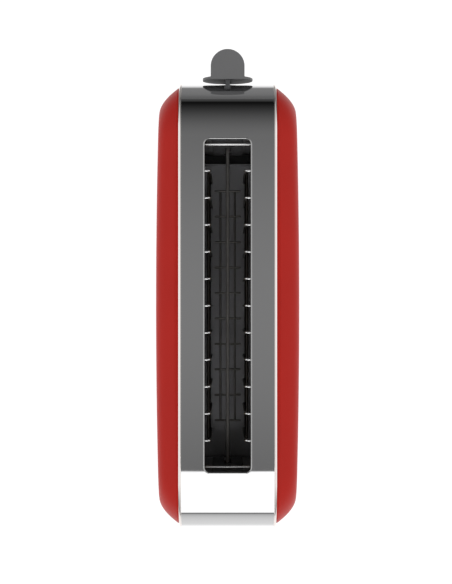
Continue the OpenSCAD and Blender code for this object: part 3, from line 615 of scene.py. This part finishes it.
ARC_END = FLAT_Y + TOP_R * math.pi / 2  # length along the band from its middle to a bend's end
FACE_TOP = TOP_Z - TOP_R
BAND_END = ARC_END + FACE_TOP - SPLIT_Z
BAND_T = 1 * MM
FIT = 0.3 * MM  # gap round a shaft or a button
FRAME_LAP = 0.1 * MM  # how far the slot frame reaches over the edge of its hole
SLOT_CORNER = 5 * MM
BUTTON_FLANGE = 1.2 * MM  # how far a button's flange stands out behind the band
GLAND_HOLE = 6.4 * MM  # radius of the hole for the cord gland's neck
LEVER_SIDE, LEVER_OVER, LEVER_UNDER = 1 * MM, 4 * MM, 1.5 * MM  # gaps round the lever's arm
LEVER_DEPTH = 7.8 * MM  # height of the arm where it passes through the band
OPEN_CORNER = 0.999  # share of a hole's corner radius, so that two corners never quite meet
SLIVER = 1e-13  # area in square metres under which a triangle is dropped
NEAR = 1e-5  # distance in millimetres within which the triangulation merges points


def along_face(z):
    """Length along the band, from its middle, of a height on the end face or the bend above."""
    if z <= FACE_TOP:
        return ARC_END + FACE_TOP - z
    return FLAT_Y + TOP_R * math.acos(1 - (TOP_Z - z) / TOP_R)


def band_holes():
    """Each hole as (x, s, half x, half s, corner radius), with s the length along the band."""
    holes = [(0, 0, frame_high.x - FRAME_LAP, frame_high.y - FRAME_LAP, SLOT_CORNER)]
    for node in ("cancel_button", "defrost_button", "reheat_button"):
        low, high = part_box(node)
        r = (high.x - low.x) / 2 - BUTTON_FLANGE + FIT
        holes.append(((low.x + high.x) / 2, along_face((low.z + high.z) / 2), r, r, r))
    low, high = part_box("potentiometer_shaft")
    r = (high.x - low.x) / 2 + FIT
    holes.append((0, along_face((low.z + high.z) / 2), r, r, r))
    low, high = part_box("cord_gland")
    r = GLAND_HOLE
    holes.append((0, -along_face((low.z + high.z) / 2), r, r, r))
    low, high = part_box("lever_arm")
    upper = along_face(high.z + LEVER_OVER)
    lower = along_face(high.z - LEVER_DEPTH - CARRIAGE_TRAVEL - LEVER_UNDER)
    holes.append((0, (upper + lower) / 2, high.x + LEVER_SIDE, (lower - upper) / 2, 0.6 * MM))
    return holes


def on_band(x, s):
    """Points and outward directions of the band. Past the flat top the path turns through
    a = (|s| - flat) / R: y = flat + R sin a and z = top - R (1 - cos a), then runs down."""
    reach = np.abs(s)
    a = np.clip((reach - FLAT_Y) / TOP_R, 0, math.pi / 2)
    y = np.sign(s) * (np.minimum(reach, FLAT_Y) + TOP_R * np.sin(a))
    z = TOP_Z - TOP_R * (1 - np.cos(a)) - np.maximum(reach - ARC_END, 0)
    return np.stack([x, y, z], 1), np.stack([0 * x, np.sign(s) * np.sin(a), np.cos(a)], 1)


def flat_band(holes):
    """The band laid flat, a rectangle (x, s) with holes cut into triangles: a row of points lies
    at every step of each bend, and a triangle inside a hole's rounded outline is left out."""
    bend = np.linspace(FLAT_Y, ARC_END, 61)
    rows = np.concatenate([[-BAND_END], -bend[::-1], bend, [BAND_END]])
    n = len(rows)
    flat = [np.stack([np.full(n, x), rows], 1) for x in (-HALF_BAND, HALF_BAND)]
    k = np.arange(n)
    long_edge = np.stack([k[:-1], k[1:]], 1)
    edges = np.vstack([np.stack([k, k + n], 1), long_edge, long_edge + n])
    count = 2 * n
    for x, s, half_x, half_s, r in holes:
        loop = rounded_rect(half_x, half_s, r * OPEN_CORNER, 0, 12, (2, 2), (x, s))
        k = np.arange(len(loop))
        flat.append(loop)
        edges = np.vstack([edges, np.stack([k, (k + 1) % len(loop)], 1) + count])
        count += len(loop)
    points = [Vector(p) for p in (np.vstack(flat) / MM).tolist()]
    made = delaunay_2d_cdt(points, edges.tolist(), [], 0, NEAR)
    plan = np.array([tuple(p) for p in made[0]]) * MM
    tri = np.array(made[2])
    a, b, c = plan[tri[:, 0]], plan[tri[:, 1]], plan[tri[:, 2]]
    area = np.cross(b - a, c - a)
    tri[area < 0] = tri[area < 0][:, ::-1]
    middle = (a + b + c) / 3
    keep = np.abs(area) > SLIVER
    for x, s, half_x, half_s, r in holes:
        away = np.abs(middle - (x, s))
        past_corner = np.hypot(*np.maximum(away - (half_x - r, half_s - r), 0).T)
        keep &= ~(np.all(away < (half_x, half_s), axis=1) & (past_corner < r))
    used, tri = np.unique(tri[keep], return_inverse=True)
    return plan[used], tri.reshape(-1, 3)


def steel_band():
    """The flat band bent, given its thickness and walled at each edge, with the normal of each
    corner of each face. A wall's are zero, which stands for its own."""
    plan, tri = flat_band(band_holes())
    outer, out = on_band(*plan.T)
    count = len(outer)
    sides = np.vstack([tri[:, [0, 1]], tri[:, [1, 2]], tri[:, [2, 0]]])
    _, first, times = np.unique(np.sort(sides, 1), axis=0, return_index=True, return_counts=True)
    rim = sides[first[times == 1]]
    walls = np.stack([rim[:, 1], rim[:, 0], rim[:, 0] + count, rim[:, 1] + count], 1)
    verts = np.vstack([outer, outer - BAND_T * out])
    faces = tri.tolist() + (tri[:, ::-1] + count).tolist() + walls.tolist()
    own_normals = np.zeros((walls.size, 3))
    normals = np.vstack([out[tri.ravel()], -out[tri[:, ::-1].ravel()], own_normals])
    return verts, faces, normals


verts, faces, normals = steel_band()
band = add_piece("band", (verts, faces), "toaster_body", "polished_steel", "steel_band",
                 crease=30, outwards=False)
band.data.normals_split_custom_set(normals.tolist())

# ---- Wires ----------------------------------------------------------------------------------

GUARD_WIRES = 11
GUARD_PITCH = 21.2 * MM
GUARD_REACH = (GUARD_WIRES - 1) / 2 * GUARD_PITCH  # from the middle wire to the last
GUARD_R = 0.9 * MM
GUARD_BEND = 2.2 * MM  # radius of the bend at a guard wire's top
RAIL_R = 1.2 * MM
RAIL_LOW, RAIL_OVER = 4 * MM, 12 * MM  # rails' heights, over the guard's foot and the lifter
WELD = 0.3 * MM  # how deep a rail sinks into the wires
LADDER_WELD = 0.4 * MM  # how far the lifter's wires lie under its top
LIFTER_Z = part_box("bread_lifter")[1].z


def guard(sign):
    """Upright wires, each bent out at the top, on two long rails, with a third under the bends."""
    low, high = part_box("guard_right")
    x, top = low.x + GUARD_R, high.z - GUARD_R
    paths = [bent([(x, y, low.z), (x, y, top), (high.x, y, top)], GUARD_BEND)
             for y in np.linspace(-GUARD_REACH, GUARD_REACH, GUARD_WIRES)]
    wires = [wire(path, GUARD_R, (0, 1, 0)) for path in paths]
    rail_x = x + GUARD_R + RAIL_R - WELD
    rails = [(rail_x, low.z + RAIL_LOW), (rail_x, LIFTER_Z + RAIL_OVER)]
    rails.append((high.x - RAIL_R - WELD, top - GUARD_R - RAIL_R + WELD))
    wires += [wire([(u, y, w) for y in (low.y, 0, high.y)], RAIL_R, (1, 0, 0)) for u, w in rails]
    verts, faces = joined(wires)
    return verts * (sign, 1, 1), faces


for side, sign in (("left", -1), ("right", 1)):
    add_piece(f"guard_wires_{side}", guard(sign), f"guard_{side}", "wire_steel",
              f"guard_{side}", crease=60, finish="guard_wire")


def support_rods():
    """A plain rod across each end of the slot."""
    low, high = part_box("guard_support_rods")
    r = (high.z - low.z) / 2
    z = high.z - r
    return joined([wire([(low.x, y, z), (0, y, z), (-low.x, y, z)], r, (0, 1, 0))
                   for y in (low.y + r, high.y - r)])


add_piece("rods", support_rods(), "toaster_body", "wire_steel", "guard_support_rods",
          crease=60)


def lifter():
    """Ladder that the bread stands on: a long bar, short cross wires and two side wires."""
    low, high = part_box("bread_lifter")
    half_bar, depth, bar_corner = 1.5 * MM, 4 * MM, 0.5 * MM
    z = high.z - GUARD_R - LADDER_WELD
    half = GUARD_REACH - GUARD_PITCH / 2
    section = rounded_rect(half_bar, depth / 2, bar_corner, 0, 4, (1, 1), (0, high.z - depth / 2))
    parts = [loft(np.stack([np.insert(section, 1, y, axis=1) for y in (low.y, high.y)]))]
    parts += [wire([(low.x, y, z), (0, y, z), (high.x, y, z)], GUARD_R, (0, 1, 0))
              for y in np.linspace(-half, half, GUARD_WIRES - 1)]
    side_x = high.x - 5 * MM
    parts += [wire([(x, -half, z), (x, 0, z), (x, half, z)], GUARD_R, (1, 0, 0))
              for x in (-side_x, side_x)]
    return joined(parts)


add_piece("lifter_ladder", lifter(), "carriage", "wire_steel", "bread_lifter",
          crease=40, finish="lifter_wire")


def spring(low, high):
    """Helix in a box: the middle plus r (cos t, sin t), rising evenly turn by turn."""
    r, turns, steps = 0.5 * MM, 9, 28
    t = np.linspace(0, turns * 2 * math.pi, turns * steps + 1)
    out = np.stack([np.cos(t), np.sin(t), 0 * t], 1)
    middle = np.array([(low.x + high.x) / 2, (low.y + high.y) / 2, 0])
    path = middle + out * ((high.x - low.x) / 2 - r)
    path[:, 2] = np.linspace(low.z + r, high.z - r, len(t))
    return wire(path, r, out, 8)


low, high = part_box("return_spring")
helix = add_piece("coil_spring", spring(low, high), "toaster_body", "wire_steel",
                  "return_spring", crease=60)
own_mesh(helix)

# ---- Softened parts -------------------------------------------------------------------------

EDGES = {  # radius of each node's edges, in millimetres
    "base": 0.5, "rubber_feet": 0.4, "cord_gland": 0.3, "tray_handle": 0.8, "crumb_tray": 0.15,
    "lever_knob": 0.55, "lever_arm": 0.4, "control_bezel": 0.5, "browning_knob": 0.3,
    "cancel_button": 0.35, "defrost_button": 0.35, "reheat_button": 0.35, "end_guides": 0.15,
    "base_screws": 0.15, "carriage_slider": 0.4, "carriage_bracket": 0.3, "latch_plate": 0.3,
    "main_switch": 0.2, "terminal_block": 0.4, "electromagnet_coil": 0.4,
}
for node, edge in EDGES.items():
    softened(node, edge * MM)

# ---- Marks on the controls ------------------------------------------------------------------

SCALE_R, SYMBOL_R = 0.22 * MM, 0.2 * MM  # radii of printed lines, half sunk in their surface
SINK = 0.1 * MM  # how far under a face the lines' middles lie
SCALE_START, SCALE_END = 225, -45  # degrees, over the knob's left and right


def flat_marks(lines, y, r):
    """Lines on a face that looks along +Y: each is a list of (x, z) points."""
    paths = [np.insert(np.array(line, float), 1, y - SINK, axis=1) for line in lines]
    return joined([wire(path, r, (0, 1, 0), 8) for path in paths])


def arc_line(x, z, r, start, end, steps=28):
    """Arc about (x, z) between two angles in degrees."""
    t = np.radians(np.linspace(start, end, steps + 1))
    return np.stack([x + r * np.cos(t), z + r * np.sin(t)], 1)


def browning_marks():
    """Arc round the browning knob with seven ticks outside it, each longer than the last."""
    low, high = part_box("browning_knob")
    middle, r = np.array([0, (low.z + high.z) / 2]), (high.x - low.x) / 2
    lines = [arc_line(*middle, r + 1.4 * MM, SCALE_END, SCALE_START, 60)]
    for i, angle in enumerate(np.radians(np.linspace(SCALE_START, SCALE_END, 7))):
        away = np.array([math.cos(angle), math.sin(angle)])
        inner, outer = away * (r + 2.2 * MM) + middle, away * (r + (3 + 0.25 * i) * MM) + middle
        lines.append([inner, (inner + outer) / 2, outer])
    return flat_marks(lines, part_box("control_bezel")[1].y, SCALE_R)


add_piece("browning_scale", browning_marks(), "toaster_body", "print", crease=60)


def spoke(x, z, r, angle):
    """Straight line through (x, z), r long on each side, at an angle in degrees."""
    reach = r * np.array([math.cos(math.radians(angle)), math.sin(math.radians(angle))])
    return [(x, z) - reach, (x, z), (x, z) + reach]


def button_marks(node, kind):
    """Symbol on a button: a ring with a bar, a star of three lines, or three waves whose x is
    x0 + w sin(3 pi t / 2) at height t."""
    low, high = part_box(node)
    x, z, r = (low.x + high.x) / 2, (low.z + high.z) / 2, 2.3 * MM
    if kind == "stop":
        lines = [arc_line(x, z, r, 0, 350), spoke(x, z, r, 45)]
    elif kind == "frost":
        lines = [spoke(x, z, r * 1.1, angle) for angle in (30, 90, 150)]
    else:
        t = np.linspace(-1, 1, 17)
        sway = 0.35 * MM * np.sin(math.pi * 1.5 * t)
        lines = [np.stack([x + dx * MM + sway, z + r * t], 1) for dx in (-1.4, 0, 1.4)]
    return flat_marks(lines, high.y, SYMBOL_R)


SYMBOLS = {"cancel_button": "stop", "defrost_button": "frost", "reheat_button": "warm"}
for node, kind in SYMBOLS.items():
    add_piece(node + "_mark", button_marks(node, kind), BODY_OF[node], "print", crease=60)

# ---- Studio ---------------------------------------------------------------------------------

CAMERA_HEIGHT = 1.58  # over the floor, looking straight down
CAMERA_ANGLE = 18.6  # degrees over the picture's height
SHIFT = -0.0028253, 0.0234589  # of the picture's height, to the right and up
SOFTBOX_START = 0.0930  # slope off the zenith at which the white softbox begins
SOFTBOX_EDGE = 0.0003
SOFTBOX = 1.75  # its brightness
BACKDROP = 0.92  # brightness of the sky where the camera sees it
ZENITH_GREY, NEAR_TOP_GREY, HORIZON_GREY = 0.225, 0.08, 0.10

scene = bpy.context.scene
scene.view_settings.view_transform = "Standard"
camera = bpy.data.objects.new("camera", bpy.data.cameras.new("camera"))
scene.collection.objects.link(camera)
camera.location = (0, 0, CAMERA_HEIGHT)
camera.data.sensor_fit = "VERTICAL"
camera.data.angle = math.radians(CAMERA_ANGLE)
camera.data.shift_x, camera.data.shift_y = SHIFT
scene.camera = camera


def studio_light():
    """Sky by direction (x, y, z). The white softbox begins just off the zenith, where -y / z
    passes a slope, runs back to the -Y horizon and is narrow in x. Half as bright white stands
    on both sides and fades towards the ends. The rest is grey as (1 - y^2)^0.9, lighter by
    1 - (y / z)^2 / slope^2 near the zenith, with a light haze along the horizon."""
    world = bpy.data.worlds.new("studio")
    scene.world = world
    s = Shader(world)
    direction = s.node("TexCoord", out="Generated")
    dx, dy, dz = s.node("SeparateXYZ", {}, {0: direction}, out=(0, 1, 2))
    up = dz.at_least(0.001)
    back = (dy * -1 / up).ramp(SOFTBOX_START - SOFTBOX_EDGE, SOFTBOX_START + SOFTBOX_EDGE)
    back = back * (1 - abs(dx).ramp(0.10, 0.15) * 0.85)
    beside = abs(dx).ramp(0.28, 0.50) * 0.50 * (1 - abs(dy).ramp(0.35, 0.75) * 0.45)
    near_top = (1 - (dy / up) ** 2 / SOFTBOX_START**2).clamped()
    haze = HORIZON_GREY * (1 - dz.ramp(0.0, 0.135))
    grey = ZENITH_GREY * (1 - dy * dy).at_least(0.0) ** 0.9 + NEAR_TOP_GREY * near_top + haze
    white = back.at_least(beside)
    sky = grey * (1 - white) + SOFTBOX * white
    lit = s.node("Background", {}, {"Color": colour(1, 1, 1), "Strength": sky})
    seen = s.node("Background", {}, {"Color": colour(1, 1, 1), "Strength": BACKDROP})
    camera_ray = s.node("LightPath", out="Is Camera Ray")
    shown = s.node("MixShader", {}, {0: camera_ray, 1: lit, 2: seen})
    s.node("OutputWorld", {}, {"Surface": shown}, ())


def studio_floor():
    """Pale floor that glows round the toaster and fades to grey away from it: at once beyond the
    lever's end, slowly towards -Y, and on both sides."""
    half, n = 4.0, 33
    u = np.linspace(-1, 1, n)
    x, y = np.meshgrid(half * u, half * u)
    verts = np.stack([x, y, 0 * x], -1).reshape(-1, 3)
    at = np.arange(n - 1)[:, None] * n + np.arange(n - 1)[None, :]
    faces = np.stack([at, at + 1, at + n + 1, at + n], -1).reshape(-1, 4)
    mesh = bpy.data.meshes.new("floor")
    mesh.from_pydata(verts.tolist(), [], faces.tolist())
    floor = bpy.data.objects.new("floor", mesh)
    scene.collection.objects.link(floor)
    s = new_finish("floor_paper")
    x, y = s.node("SeparateXYZ", {}, {0: s.node("TexCoord", out="Object")}, out=(0, 1))
    back = y * -1
    front = 1 - y.ramp(0.272, 0.335) * 0.84 - y.ramp(0.35, 1.3) * 0.12
    rear = 1 - back.ramp(0.26, 0.30) * 0.10 - back.ramp(0.40, 2.4) * 0.86
    pool = front * rear * (1 - abs(x).ramp(0.26, 0.60) * 0.7)
    fibre = s.noise(3 * MM, 2.0)
    s.surface({
        "Base Color": s.mix(fibre, colour(0.19, 0.19, 0.19), colour(0.21, 0.21, 0.21)),
        "Roughness": 0.9,
        "Specular IOR Level": 0.0,
        "Emission Color": s.mix(pool, colour(0.01, 0.01, 0.01), colour(0.97, 0.97, 0.97)),
        "Emission Strength": 1.0,
    })
    mesh.materials.append(FINISH["floor_paper"])


studio_light()
studio_floor()
